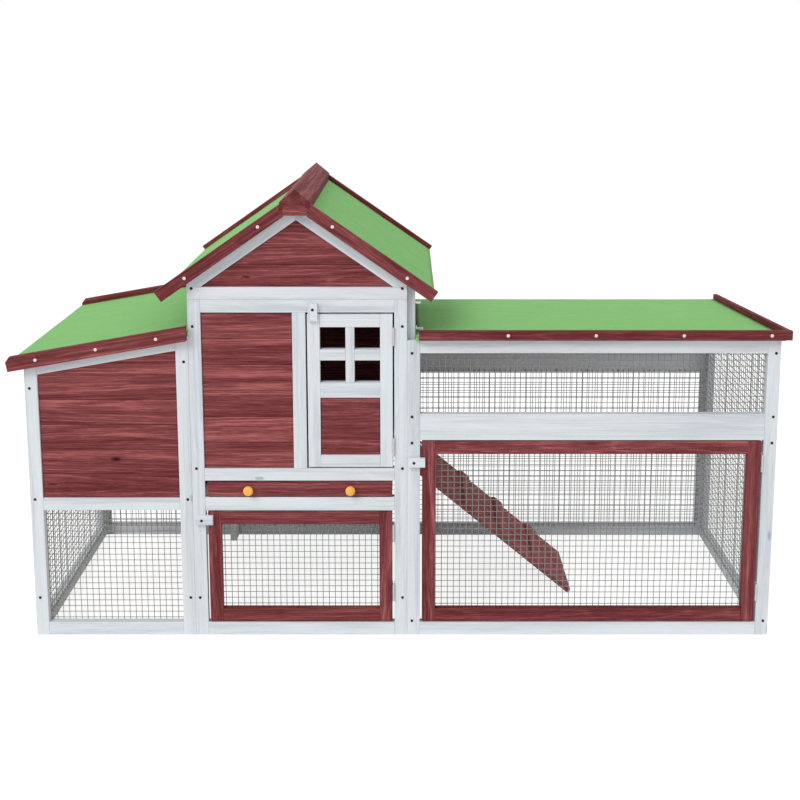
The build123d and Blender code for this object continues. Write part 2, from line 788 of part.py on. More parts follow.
# Butt hinges. In a leaf's own frame the pin is Z, and X points at the face that the leaf is screwed to.
def hinge_leaf(centre, axis, towards, face_distance, knuckles):
    """A leaf whose sheet ends at face_distance from the pin, with knuckles at the given thirds of it."""
    third = hinge_height / 3
    sheet_x = face_distance - hinge_sheet
    start_y = hinge_barrel_radius + hinge_stand_off
    leaf = Pos(sheet_x + hinge_sheet / 2, start_y + hinge_leaf_length / 2, 0) * Box(
        hinge_sheet, hinge_leaf_length, hinge_height
    )
    for place in knuckles:
        centre_z = (place - 1) * third
        height = third - knuckle_gap
        leaf += Pos(sheet_x + hinge_sheet / 2, start_y / 2, centre_z) * Box(hinge_sheet, start_y, height)
        leaf += Pos(0, 0, centre_z) * Cylinder(hinge_barrel_radius, height)
    leaf -= Cylinder(hinge_pin_radius + hinge_bore_clearance, hinge_height)
    return Plane(centre, x_dir=towards, z_dir=axis) * leaf


def hinge_pin(centre, axis):
    return Plane(centre, z_dir=axis) * Cylinder(hinge_pin_radius, hinge_height)


hinge_pins = []
frame_leaves = []


def door_hinges(door_end_x, post_x, middles):
    """Hinges in the gap between a door and the post at its right. Returns the door's leaves."""
    axis_x = (door_end_x + post_x) / 2
    axis_y = front_y - hinge_barrel_radius - hinge_stand_off
    door_leaves = []
    for z in middles:
        centre = (axis_x, axis_y, z)
        frame_leaves.append(hinge_leaf(centre, (0, 0, 1), (1, 0, 0), post_x - axis_x, (0, 2)))
        door_leaves.append(hinge_leaf(centre, (0, 0, -1), (-1, 0, 0), axis_x - door_end_x, (1,)))
        hinge_pins.append(hinge_pin(centre, (0, 0, 1)))
    return door_leaves


# Coop door: a white frame with a window of four lights above a boarded panel
coop_door_z = room_z + coop_door_gap
coop_door_end_z = tower_rail_z - coop_door_gap
coop_in_x = coop_door_x + coop_door_stile
coop_in_end_x = coop_door_end_x - coop_door_stile
coop_window_end_z = coop_door_end_z - coop_door_top_rail
coop_window_z = coop_window_end_z - coop_window_height
coop_panel_end_z = coop_window_z - coop_sill_rail
coop_panel_z = coop_door_z + coop_door_stile
mullion_x = (coop_in_x + coop_in_end_x - coop_mullion) / 2
mullion_end_x = mullion_x + coop_mullion
cross_z = (coop_window_z + coop_window_end_z - coop_cross_bar) / 2
save("coop_door_frame", [
    block(coop_door_x, coop_in_x, front_y, front_in_y, coop_door_z, coop_door_end_z),
    block(coop_in_end_x, coop_door_end_x, front_y, front_in_y, coop_door_z, coop_door_end_z),
    block(coop_in_x, coop_in_end_x, front_y, front_in_y, coop_door_z, coop_panel_z),
    block(coop_in_x, coop_in_end_x, front_y, front_in_y, coop_panel_end_z, coop_window_z),
    block(coop_in_x, coop_in_end_x, front_y, front_in_y, coop_window_end_z, coop_door_end_z),
    block(mullion_x, mullion_end_x, front_y, front_in_y, coop_window_z, coop_window_end_z),
    block(coop_in_x, mullion_x, front_y, front_in_y, cross_z, cross_z + coop_cross_bar),
    block(mullion_end_x, coop_in_end_x, front_y, front_in_y, cross_z, cross_z + coop_cross_bar),
])
coop_panel = rect(coop_in_x, coop_in_end_x, coop_panel_z, coop_panel_end_z)
save("coop_door_boards", [
    along_y(face, front_y + board_recess, front_y + board_recess + board_thickness)
    for face in rows(coop_panel, coop_panel_z, coop_panel_end_z)
])
coop_hinge_places = (coop_panel_z + hinge_height / 2, coop_window_end_z - hinge_height / 2)
save("coop_door_hinge_leaves", door_hinges(coop_door_end_x, tower_opening_end_x, coop_hinge_places))


# Wire doors: a red frame with mesh on its back face, under the tower and in the run
def wire_door(name, low_x, high_x, low_z, high_z):
    left, right = low_x + mesh_door_side_gap, high_x - mesh_door_side_gap
    foot, head = low_z + mesh_door_end_gap, high_z - mesh_door_end_gap
    in_x, in_end_x = left + mesh_door_stile, right - mesh_door_stile
    in_z, in_end_z = foot + mesh_door_rail, head - mesh_door_rail
    save(f"{name}_frame", [
        block(left, in_x, front_y, front_in_y, foot, head),
        block(in_end_x, right, front_y, front_in_y, foot, head),
        block(in_x, in_end_x, front_y, front_in_y, foot, in_z),
        block(in_x, in_end_x, front_y, front_in_y, in_end_z, head),
    ])
    save(f"{name}_mesh", mesh_along_y(in_x, in_end_x, in_z, in_end_z, front_in_y, 1))
    middles = (in_z + hinge_height, in_end_z - hinge_height / 2)
    save(f"{name}_hinge_leaves", door_hinges(right, high_x, middles))


wire_door("lower_door", tower_opening_x, tower_opening_end_x, bottom_rail_height, tray_rail_z)
wire_door("run_door", run_opening_x, run_opening_end_x, bottom_rail_height, run_mid_rail_z)

# Hinges of the run roof: one leaf stands on the tower's wall, the other lies on the felt
lid_axis_offset = hinge_barrel_radius + hinge_stand_off
lid_axis = (0, cos(run_pitch), -sin(run_pitch))
lid_up = (0, sin(run_pitch), cos(run_pitch))
lid_leaves = []
for hinge_y in (front_y + lid_hinge_front_inset, back_y - lid_hinge_back_inset):
    lid_centre = (
        right_wall_out_x + lid_axis_offset,
        hinge_y + lid_axis_offset * lid_up[1],
        run_roof_z(hinge_y) + lid_axis_offset * lid_up[2],
    )
    lid_back = tuple(-part for part in lid_axis)
    lid_down = tuple(-part for part in lid_up)
    frame_leaves.append(hinge_leaf(lid_centre, lid_axis, (-1, 0, 0), lid_axis_offset, (0, 2)))
    lid_leaves.append(hinge_leaf(lid_centre, lid_back, lid_down, lid_axis_offset, (1,)))
    hinge_pins.append(hinge_pin(lid_centre, lid_axis))
save("run_roof_hinge_leaves", lid_leaves)
save("frame_hinge_leaves", frame_leaves)
save("hinge_pins", hinge_pins)


# Turn-buttons: a wood block on a screw through the frame, shut across the door's edge
def screw(x, face_y, z, head_radius, length, out=-1):
    """A screw driven through a face that looks along Y; out is the way its head stands."""
    shank = Pos(0, 0, -length / 2) * Cylinder(screw_radius, length)
    head = Pos(0, 0, screw_head_height / 2) * Cylinder(head_radius, screw_head_height)
    return Plane((x, face_y, z), x_dir=(1, 0, 0), z_dir=(0, out, 0)) * (shank + head)


button_face_y = front_y - button_clearance
button_out_y = button_face_y - button_thickness
screw_out_y = button_out_y - button_clearance
frame_screws = []


def turn_button(name, pivot_x, pivot_z, turn):
    """A button whose long end points along X, turned about its pivot by an angle in degrees."""
    body = Pos(button_length / 2 - button_pivot, 0, 0) * Box(button_length, button_width, button_thickness)
    body -= Cylinder(screw_radius + button_bore_clearance, button_thickness)
    place = Plane((pivot_x, button_face_y - button_thickness / 2, pivot_z), x_dir=(1, 0, 0), z_dir=(0, -1, 0))
    save(name, [place * Rot(0, 0, turn) * body])
    length = button_thickness + 2 * button_clearance + button_screw_bite
    frame_screws.append(screw(pivot_x, screw_out_y, pivot_z, screw_head_radius, length))


turn_button("coop_turn_button", coop_door_x + button_pivot, tower_rail_z + tower_button_inset, -90)
turn_button("lower_turn_button", tower_opening_x - tower_button_inset, tray_rail_z - button_width, 0)
turn_button("run_turn_button", run_opening_x - run_button_inset, run_mid_rail_z - run_button_drop, 0)

# Frame screws: black heads on the posts, a little inside each bay's edges
bottom_screw_z = 2 * bottom_rail_height + rail_height
for x in (nest_x + screw_inset, tower_x - screw_inset):
    for z in (bottom_screw_z, nest_floor_z - screw_head_radius, nest_roof_z(x, roof_depth) - 2 * rail_height):
        frame_screws.append(screw(x, front_y, z, screw_head_radius, screw_length))
for x in (tower_x + screw_inset, run_x - screw_inset):
    for z in (bottom_screw_z, room_z, tower_rail_z - bottom_rail_height, gable_base_z - screw_head_radius):
        frame_screws.append(screw(x, front_y, z, screw_head_radius, screw_length))
for x in (run_x + screw_inset, run_end_x - screw_inset):
    low_z, high_z = bottom_rail_height, run_mid_rail_end_z
    low_pair = low_z + screw_head_radius, run_mid_rail_z - 2 * screw_head_radius
    high_pair = high_z - 2 * screw_head_radius, run_front_window_z
    for z in low_pair + high_pair:
        frame_screws.append(screw(x, front_y, z, screw_head_radius, screw_length))
save("frame_screws", frame_screws)

# Fascia screws: bright heads on the fascias and barges, front and back
nest_screw_depth = nest_fascia_height / 2 - nest_fascia_proud
nest_run = tower_x - roof_left_x
fixed_screws = []
for face_y, out in ((roof_front_y, -1), (roof_back_y, 1)):
    for place in range(fascia_screw_count):
        x = roof_left_x + nest_run * (place + 0.5) / fascia_screw_count
        z = nest_roof_z(x, nest_screw_depth)
        fixed_screws.append(screw(x, face_y, z, fascia_screw_head_radius, fascia_screw_length, out))
    for side in (-1, 1):
        for across in (tower_width / 6, tower_width / 2):
            z = ridge_z - across * tan(gable_pitch) - barge_height / 2 / cos(gable_pitch)
            x = tower_mid_x + side * across
            fixed_screws.append(screw(x, face_y, z, fascia_screw_head_radius, fascia_screw_length, out))
save("fascia_screws", fixed_screws)
lid_fascia_z = run_roof_top + run_fascia_proud - run_fascia_height / 2
lid_screw_pitch = (run_opening_end_x - run_opening_x) / lid_screw_count
save("run_roof_screws", [
    screw(run_opening_end_x - place * lid_screw_pitch, roof_front_y, lid_fascia_z, fascia_screw_head_radius,
          fascia_screw_length)
    for place in range(lid_screw_count)
])
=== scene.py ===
import json
import math
import random

import bmesh
import bpy
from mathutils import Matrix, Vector

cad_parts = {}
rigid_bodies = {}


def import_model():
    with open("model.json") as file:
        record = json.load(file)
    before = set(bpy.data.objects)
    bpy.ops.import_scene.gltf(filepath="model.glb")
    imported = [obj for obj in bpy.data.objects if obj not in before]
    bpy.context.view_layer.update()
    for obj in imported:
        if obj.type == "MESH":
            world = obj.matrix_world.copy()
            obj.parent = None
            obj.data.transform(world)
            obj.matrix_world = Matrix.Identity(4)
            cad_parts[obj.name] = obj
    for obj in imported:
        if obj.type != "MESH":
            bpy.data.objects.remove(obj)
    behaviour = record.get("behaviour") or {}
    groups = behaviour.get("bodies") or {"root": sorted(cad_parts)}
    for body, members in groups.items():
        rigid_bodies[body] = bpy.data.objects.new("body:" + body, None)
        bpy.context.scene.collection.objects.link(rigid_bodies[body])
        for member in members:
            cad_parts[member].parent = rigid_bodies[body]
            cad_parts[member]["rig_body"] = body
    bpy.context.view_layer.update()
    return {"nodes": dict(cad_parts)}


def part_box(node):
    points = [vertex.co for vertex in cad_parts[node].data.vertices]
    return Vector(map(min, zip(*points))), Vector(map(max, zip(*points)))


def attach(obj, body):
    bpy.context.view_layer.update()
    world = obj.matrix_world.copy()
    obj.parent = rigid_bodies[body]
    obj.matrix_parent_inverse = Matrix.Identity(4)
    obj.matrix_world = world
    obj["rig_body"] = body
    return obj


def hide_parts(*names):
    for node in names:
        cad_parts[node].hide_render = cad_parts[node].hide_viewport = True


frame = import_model()

# ---------------------------------------------------------------- studio
# The hutch stands on a white floor in front of white, seen from the front and a little above its roofs.
# The camera's shift takes half of the downward look, so that the posts stay nearly upright.
CAMERA_PLACE = (0.02, -2.903, 1.478)
CAMERA_TILT = math.radians(8.32)
CAMERA_LENS = 48.8
CAMERA_SHIFT = (-0.008, -0.235)

camera_data = bpy.data.cameras.new("camera")
camera_data.sensor_width = 36
camera_data.lens = CAMERA_LENS
camera_data.shift_x, camera_data.shift_y = CAMERA_SHIFT
camera = bpy.data.objects.new("camera", camera_data)
camera.location = CAMERA_PLACE
camera.rotation_euler = (math.radians(90) - CAMERA_TILT, 0, 0)
bpy.context.scene.collection.objects.link(camera)
bpy.context.scene.camera = camera
bpy.context.scene.view_settings.view_transform = "Standard"


def add(tree, kind, *inputs, out=0, **settings):
    """A node with its inputs given in order, as values or as sockets. Returns one of its outputs."""
    node = tree.nodes.new(kind)
    for name, value in settings.items():
        setattr(node, name, value)
    for place, value in enumerate(inputs):
        if isinstance(value, bpy.types.NodeSocket):
            tree.links.new(value, node.inputs[place])
        elif value is not None:
            node.inputs[place].default_value = value
    return node.outputs[out]


def sums(tree, operation, *inputs, **settings):
    return add(tree, "ShaderNodeMath", *inputs, operation=operation, **settings)


def sees_white(tree):
    """1 for rays that should meet a plain white studio: from the camera, mirrored or through glass."""
    path = tree.nodes.new("ShaderNodeLightPath")
    rays = [path.outputs[f"Is {kind} Ray"] for kind in ("Camera", "Glossy", "Transmission")]
    return sums(tree, "MAXIMUM", sums(tree, "MAXIMUM", rays[0], rays[1]), rays[2])


AMBIENT = 0.58
world = bpy.data.worlds.new("studio")
world.use_nodes = True
tree = world.node_tree
brightness = add(tree, "ShaderNodeMapRange", sees_white(tree), 0.0, 1.0, AMBIENT, 1.0)
tree.nodes["Background"].inputs["Color"].default_value = (1, 1, 1, 1)
tree.links.new(brightness, tree.nodes["Background"].inputs["Strength"])
bpy.context.scene.world = world

# A window on the left, high up, and a fainter one on the right: strength, direction and softness
WINDOWS = {
    "left_window": (1.6, Vector((-0.48, -0.58, 0.66)), math.radians(30)),
    "right_window": (0.35, Vector((0.78, -0.30, 0.55)), math.radians(70)),
}
for name, (strength, source, softness) in WINDOWS.items():
    lamp = bpy.data.lights.new(name, "SUN")
    lamp.energy = strength
    lamp.angle = softness
    window = bpy.data.objects.new(name, lamp)
    window.rotation_euler = source.to_track_quat("Z", "Y").to_euler()
    bpy.context.scene.collection.objects.link(window)


def new_material(name, roughness, specular=0.5):
    """A material with its tree and its shader, whose uniform numbers are set here."""
    material = bpy.data.materials.new(name)
    material.use_nodes = True
    surface = material.node_tree.nodes["Principled BSDF"]
    surface.inputs["Roughness"].default_value = roughness
    surface.inputs["Specular IOR Level"].default_value = specular
    return material, material.node_tree, surface


# The floor lights the hutch as pale paper would. To the camera it glows nearly white and keeps a soft shadow.
FLOOR_REACH = 14
FLOOR_BOUNCE = 0.93
FLOOR_SHADED = 0.30
FLOOR_GLOW = 0.84
floor_material, tree, surface = new_material("studio_floor", 0.9, 0.0)
white = sees_white(tree)
tone = add(tree, "ShaderNodeMapRange", white, 0.0, 1.0, FLOOR_BOUNCE, FLOOR_SHADED)
tree.links.new(tone, surface.inputs["Base Color"])
surface.inputs["Emission Color"].default_value = (1, 1, 1, 1)
tree.links.new(sums(tree, "MULTIPLY", white, FLOOR_GLOW), surface.inputs["Emission Strength"])
floor_mesh = bpy.data.meshes.new("studio_floor")
half = FLOOR_REACH / 2
floor_corners = [(-half, -half, 0), (half, -half, 0), (half, half, 0), (-half, half, 0)]
floor_mesh.from_pydata(floor_corners, [], [(0, 1, 2, 3)])
floor_mesh.materials.append(floor_material)


def stand(name, mesh):
    """A new object at the origin, with its place in its mesh."""
    made = bpy.data.objects.new(name, mesh)
    bpy.context.scene.collection.objects.link(made)
    return made


stand("studio_floor", floor_mesh)

# ---------------------------------------------------------------- painted frames
# Planed softwood posts and rails with their arrises eased, nailed and screwed butt to butt, under a thin
# white water-based paint that lets the fibres, the growth rings and a few knots show.
ARRIS = 0.0013
SHARP = math.radians(20)
FLAT = math.radians(0.2)
PITH_DISTANCE = (0.018, 0.075)
PITH_ASIDE = 0.022
LOG_LENGTH = 60
LOG_LEAN = (0.02, 0.035)
EASED_ROUND = 0.6
random.seed(7)


def solids_of(node):
    """Each solid of a CAD node as triangles. A solid ends when each of its edges has met its twin."""
    mesh = frame["nodes"][node].data
    found, faces, open_edges = [], [], set()
    for polygon in mesh.polygons:
        corners = [tuple(round(x, 6) for x in mesh.vertices[i].co) for i in polygon.vertices]
        faces.append(corners)
        for a, b in zip(corners, corners[1:] + corners[:1]):
            if a != b:
                open_edges ^= {frozenset((a, b))}
        if not open_edges:
            found.append(faces)
            faces = []
    if faces:
        found.append(faces)
    return found


def bench(faces):
    """One solid on the bench: its corners merged and its flat faces whole again."""
    shape = bmesh.new()
    corners = {}
    for face in faces:
        for point in face:
            if point not in corners:
                corners[point] = shape.verts.new(point)
        ring = [corners[point] for point in face]
        if len(set(ring)) == 3 and not shape.faces.get(ring):
            shape.faces.new(ring)
    shape.normal_update()
    bmesh.ops.dissolve_limit(shape, angle_limit=FLAT, verts=shape.verts, edges=shape.edges)
    return shape


def ease(shape, width):
    """Takes the sharp edges off a timber."""
    sharp = [edge for edge in shape.edges if edge.is_manifold and edge.calc_face_angle(0) > SHARP]
    bmesh.ops.bevel(
        shape, geom=sharp, offset=width, segments=2, profile=EASED_ROUND, affect="EDGES", clamp_overlap=True
    )


def grain_axes(shape, along):
    """The fibres' way, across the board, and through it. Fibres follow the longest edge unless told."""
    if along is None:
        edge = max(shape.edges, key=lambda e: e.calc_length())
        along = (edge.verts[1].co - edge.verts[0].co).normalized()
    sides = [face for face in shape.faces if abs(face.normal.dot(along)) < 0.5]
    through = max(sides, key=lambda f: f.calc_area()).normal
    across = along.cross(through).normalized()
    return along, across, across.cross(along)


def cut_from_log(shape, along):
    """Where each corner lay in its tree: along the fibres, then two ways out from the pith, in metres."""
    axes = grain_axes(shape, along)
    middle = sum((v.co for v in shape.verts), Vector()) / len(shape.verts)
    height = random.uniform(0, LOG_LENGTH)
    aside = random.uniform(-PITH_ASIDE, PITH_ASIDE)
    depth = random.choice((-1, 1)) * random.uniform(*PITH_DISTANCE)
    lean = random.uniform(-LOG_LEAN[0], LOG_LEAN[0]), random.uniform(-LOG_LEAN[1], LOG_LEAN[1])
    places = []
    for v in shape.verts:
        u, across, through = ((v.co - middle).dot(axis) for axis in axes)
        places.append((u + height, across + aside + u * lean[0], through + depth + u * lean[1]))
    return places


class Bundle:
    """Finished timbers gathered into one mesh, with their places in the log and a shade for each."""

    def __init__(self):
        self.points, self.faces, self.grain, self.shade = [], [], [], []

    def take(self, shape, along=None, darker=0):
        first = len(self.points)
        shape.verts.index_update()
        shape.normal_update()
        self.grain += cut_from_log(shape, along)
        self.shade += [random.uniform(-1, 1) + darker] * len(shape.verts)
        self.points += [v.co.copy() for v in shape.verts]
        self.faces += [[first + v.index for v in face.verts] for face in shape.faces]
        shape.free()

    def piece(self, name, material):
        mesh = bpy.data.meshes.new(name)
        mesh.from_pydata(self.points, [], self.faces)
        grain = mesh.attributes.new("grain", "FLOAT_VECTOR", "POINT")
        grain.data.foreach_set("vector", [x for place in self.grain for x in place])
        shade = mesh.attributes.new("shade", "FLOAT", "POINT")
        shade.data.foreach_set("value", self.shade)
        mesh.materials.append(material)
        return stand(name, mesh)


def stand_for(piece, node):
    """The piece takes the CAD node's place on its body."""
    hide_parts(node)
    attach(piece, frame["nodes"][node]["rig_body"])


def plane_timbers(node, ending, material, arris=ARRIS, along=None, darker=0):
    """Every solid of a CAD node with its edges eased and its own place in a log."""
    bundle = Bundle()
    for faces in solids_of(node):
        shape = bench(faces)
        ease(shape, arris)
        bundle.take(shape, along, darker)
    piece = bundle.piece(f"{node}_{ending}", material)
    stand_for(piece, node)
    return piece


# The figure of the wood, in the log's own metres: rings round the pith, streaks along it, and knots
RING_WIDTH = 0.0046
SWAY = 0.010
WAVER = 0.003
KNOT_CELL = (0.26, 0.07, 0.07)
KNOT_LENGTH = 2.6
KNOT_REACH = 0.0105
KNOT_RAGGED = 0.006
KNOT_PUSH = 0.006
RING_SHARPNESS = 3.0
CENTRE = (0.5, 0.5, 0.5)


def wood_figure(tree, knots):
    """Sockets from 0 to 1: pale lines along the rings, bands, streaks, fibres, and how near a knot is."""
    log = add(tree, "ShaderNodeAttribute", attribute_name="grain", out=1)

    def vector(operation, *inputs, **settings):
        return add(tree, "ShaderNodeVectorMath", *inputs, operation=operation, **settings)

    def noise(place, scale, detail, low=0.3, high=0.7):
        value = add(tree, "ShaderNodeTexNoise", vector("MULTIPLY", place, scale), None, 1.0, detail, 0.6)
        return add(tree, "ShaderNodeMapRange", value, low, high, 0.0, 1.0)

    def drift(scale, reach):
        """Moves the rings about, across the log only."""
        way = add(tree, "ShaderNodeTexNoise", vector("MULTIPLY", log, scale), None, 1.0, 2.0, 0.5, out=1)
        return vector("MULTIPLY", vector("SUBTRACT", way, CENTRE), (0, reach, reach))

    cells = tree.nodes.new("ShaderNodeTexVoronoi")
    cells.inputs["Scale"].default_value = 1
    tree.links.new(vector("MULTIPLY", log, tuple(1 / x for x in KNOT_CELL)), cells.inputs["Vector"])
    heart = vector("MULTIPLY", cells.outputs["Position"], KNOT_CELL)
    away = vector("MULTIPLY", vector("SUBTRACT", log, heart), (1 / KNOT_LENGTH, 1, 1))
    ragged = add(tree, "ShaderNodeTexNoise", vector("MULTIPLY", log, (90, 260, 260)), None, 1.0, 2.0, 0.5)
    ragged = sums(tree, "MULTIPLY_ADD", ragged, KNOT_RAGGED, -KNOT_RAGGED / 2)
    distance = sums(tree, "ADD", vector("LENGTH", away, out=1), ragged)
    here = sums(tree, "LESS_THAN", add(tree, "ShaderNodeSeparateColor", cells.outputs["Color"]), knots)
    soft = {"interpolation_type": "SMOOTHSTEP"}
    near = add(tree, "ShaderNodeMapRange", distance, KNOT_REACH, 0.0, 0.0, 1.0, **soft)
    near = sums(tree, "MULTIPLY", near, here)

    bent = vector("ADD", vector("ADD", log, drift((3.0, 15, 15), SWAY)), drift((11, 46, 46), WAVER))
    push = add(tree, "ShaderNodeCombineXYZ", 0.0, sums(tree, "MULTIPLY", near, KNOT_PUSH), 0.0)
    bent = vector("ADD", bent, push)
    radius = vector("LENGTH", vector("MULTIPLY", bent, (0, 1, 1)), out=1)
    season = sums(tree, "FRACT", sums(tree, "DIVIDE", radius, RING_WIDTH))
    late_wood = sums(tree, "PINGPONG", sums(tree, "MULTIPLY", season, 2.0), 1.0)
    pale_line = sums(tree, "POWER", late_wood, RING_SHARPNESS)
    bands = noise(bent, (1.1, 40, 40), 2.0, 0.36, 0.64)
    streaks = noise(bent, (5.5, 260, 260), 6.0, 0.34, 0.66)
    fibres = noise(log, (26, 1000, 1000), 3.0)
    return pale_line, bands, streaks, fibres, near


def mixed(tree, factor, low, high):
    """One colour turning into another."""
    node = tree.nodes.new("ShaderNodeMix")
    node.data_type = "RGBA"
    for place, value in ((0, factor), (6, low), (7, high)):
        if isinstance(value, bpy.types.NodeSocket):
            tree.links.new(value, node.inputs[place])
        else:
            node.inputs[place].default_value = value
    return node.outputs[2]


def srgb(red, green, blue):
    """A colour as a screen shows it, from 0 to 255, for a node."""
    channels = [x / 255 for x in (red, green, blue)]
    return tuple(x / 12.92 if x <= 0.04045 else ((x + 0.055) / 1.055) ** 2.4 for x in channels) + (1,)


def bumped(tree, surface, height, strength, distance, invert=False):
    """Relief from a height socket."""
    node = tree.nodes.new("ShaderNodeBump")
    node.invert = invert
    node.inputs["Strength"].default_value = strength
    node.inputs["Distance"].default_value = distance
    tree.links.new(height, node.inputs["Height"])
    tree.links.new(node.outputs[0], surface.inputs["Normal"])


# How far up a face points where the painted highlight on wood is strongest
HIGHLIGHT_FACING_Z = 0.6
WOOD_RELIEF = 0.0006


def wood_material(name, pale, middle, dark, knot, figure, knots, roughness, specular, bump):
    """figure: how much rings, bands, streaks, fibres, the timber's own shade and a painted highlight on
    upward-tilted faces count.
    """
    material, tree, surface = new_material(name, roughness, specular)
    pale_line, bands, streaks, fibres, near = wood_figure(tree, knots)
    shade = add(tree, "ShaderNodeAttribute", attribute_name="shade", out=2)
    # Painted highlight: faces tilted up at about this slope, such as the upper chamfers of boards, are made
    # paler as if they caught more light.
    facing = add(tree, "ShaderNodeSeparateXYZ", add(tree, "ShaderNodeTexCoord", out=1), out=2)
    off_highlight_facing = sums(tree, "ABSOLUTE", sums(tree, "SUBTRACT", facing, HIGHLIGHT_FACING_Z))
    painted_highlight = add(tree, "ShaderNodeMapRange", off_highlight_facing, 0.35, 0.25)
    amount = sums(tree, "MULTIPLY_ADD", shade, figure[4], 0.5 - sum(figure[:4]) / 2)
    amount = sums(tree, "MULTIPLY_ADD", painted_highlight, -figure[5], amount)
    for part, weight in zip((pale_line, bands, streaks, fibres), figure):
        amount = sums(tree, "MULTIPLY_ADD", part, weight, amount)
    amount = add(tree, "ShaderNodeClamp", amount, 0.0, 1.0)
    tones = tree.nodes.new("ShaderNodeValToRGB")
    tones.color_ramp.elements.new(0.5)
    for element, tone in zip(tones.color_ramp.elements, (pale, middle, dark)):
        element.color = tone
    tree.links.new(amount, tones.inputs[0])
    core = add(tree, "ShaderNodeMapRange", near, 0.25, 0.9, 0.0, 1.0, interpolation_type="SMOOTHSTEP")
    tree.links.new(mixed(tree, core, tones.outputs[0], knot), surface.inputs["Base Color"])
    height = sums(tree, "MULTIPLY_ADD", fibres, 0.4, amount)
    bumped(tree, surface, height, bump, WOOD_RELIEF, invert=True)
    return material


WHITE_PAINT = wood_material(
    "white_paint", srgb(222, 227, 230), srgb(214, 219, 223), srgb(190, 196, 203), srgb(166, 171, 178),
    figure=(-0.14, 0.56, 0.34, 0.16, 0.12, 0.0), knots=0.75, roughness=0.6, specular=0.25, bump=0.25,
)
for node in (
    "nest_front_frame", "nest_side_frame", "nest_back_frame", "tower_front_frame", "tower_back_frame",
    "tower_wall_frames", "gable_frames", "run_front_frame", "run_back_frame", "run_side_frame",
):
    plane_timbers(node, "painted", WHITE_PAINT)

# ---------------------------------------------------------------- stained boards
# Tongued and grooved softwood boards with chamfered edges, dark red stain rubbed into the grain. They run
# level in every wall and are nailed into the frames from inside.
BOARD_CHAMFER = 0.0026
LEVEL_X, LEVEL_Y = Vector((1, 0, 0)), Vector((0, 1, 0))
# The last figure weight paints a highlight on upward faces, so the boards' upper chamfers show as pale lines,
# as if lit.
RED_STAIN = wood_material(
    "red_stain", srgb(178, 103, 102), srgb(130, 68, 70), srgb(96, 41, 44), srgb(56, 22, 25),
    figure=(-0.26, 0.46, 0.50, 0.62, 0.08, 0.30), knots=0.8, roughness=0.62, specular=0.05, bump=0.5,
)
for node in (
    "nest_front_boards", "nest_back_boards", "tower_front_boards", "tower_back_boards", "gable_boards",
    "coop_door_boards",
):
    plane_timbers(node, "stained", RED_STAIN, BOARD_CHAMFER, LEVEL_X)
for node in ("nest_side_boards", "tower_wall_boards"):
    plane_timbers(node, "stained", RED_STAIN, BOARD_CHAMFER, LEVEL_Y)

# ---------------------------------------------------------------- bare wood inside
# Nobody sees the roof boards, the nest's floor and the tray's joists, so they are planed and left bare.
BARE_WOOD = wood_material(
    "bare_wood", srgb(222, 194, 152), srgb(206, 172, 128), srgb(180, 140, 96), srgb(116, 78, 50),
    figure=(0.4, 0.3, 0.3, 0.2, 0.2, 0.0), knots=0.6, roughness=0.7, specular=0.3, bump=0.3,
)
ROOF_BOARD = wood_material(
    "roof_board", srgb(176, 164, 146), srgb(158, 145, 127), srgb(132, 118, 102), srgb(84, 70, 58),
    figure=(0.4, 0.3, 0.3, 0.2, 0.2, 0.0), knots=0.6, roughness=0.8, specular=0.2, bump=0.3,
)
for node in ("nest_roof_panel", "gable_roof_panels", "run_roof_panel"):
    plane_timbers(node, "planed", ROOF_BOARD, along=LEVEL_Y)
plane_timbers("nest_floor", "planed", BARE_WOOD, along=LEVEL_Y)
plane_timbers("tray_runners", "planed", BARE_WOOD)

# ---------------------------------------------------------------- roof felt
# Bitumen felt faced with green mineral granules, one sheet to a roof board. It follows the board with slight
# waves, and its cut edges show the dark bitumen.
FELT_CELL = 0.012
FELT_WAVE = 0.0004
GRIT_SCALE = 800.0
GRIT_RELIEF = 0.0008
ROLLED_STREAKS = (7.0, 30.0, 30.0)
GREEN_FELT, tree, surface = new_material("green_felt", 0.95, 0.15)
place = add(tree, "ShaderNodeTexCoord", out=3)
grit = add(tree, "ShaderNodeTexNoise", place, None, GRIT_SCALE, 2.0, 0.7)
stretched = add(tree, "ShaderNodeVectorMath", place, ROLLED_STREAKS, operation="MULTIPLY")
patches = add(tree, "ShaderNodeTexNoise", stretched, None, 1.0, 5.0, 0.65)
grains = add(tree, "ShaderNodeMapRange", grit, 0.3, 0.7, 0.0, 1.0)
colour = mixed(tree, grains, srgb(118, 176, 102), srgb(162, 216, 146))
patches = add(tree, "ShaderNodeMapRange", patches, 0.3, 0.75, 0.0, 0.7)
tree.links.new(mixed(tree, patches, colour, srgb(128, 188, 110)), surface.inputs["Base Color"])
bumped(tree, surface, grit, 0.6, GRIT_RELIEF)
BITUMEN, tree, surface = new_material("bitumen_edge", 0.8, 0.3)
place = add(tree, "ShaderNodeTexCoord", out=3)
lumps = add(tree, "ShaderNodeTexNoise", place, None, 500.0, 2.0, 0.6)
tree.links.new(mixed(tree, lumps, srgb(42, 52, 42), srgb(88, 124, 80)), surface.inputs["Base Color"])


def felt_wave(x, y):
    """How a sheet lies at a place, from -1 to 1."""
    return math.sin(x * 17 + 2 * math.sin(y * 9)) * math.sin(y * 13 + 3 * math.sin(x * 5))


def plain_mesh(shape, name):
    """The shape as a mesh, with the bench cleared."""
    bmesh.ops.recalc_face_normals(shape, faces=shape.faces)
    mesh = bpy.data.meshes.new(name)
    shape.to_mesh(mesh)
    shape.free()
    return mesh


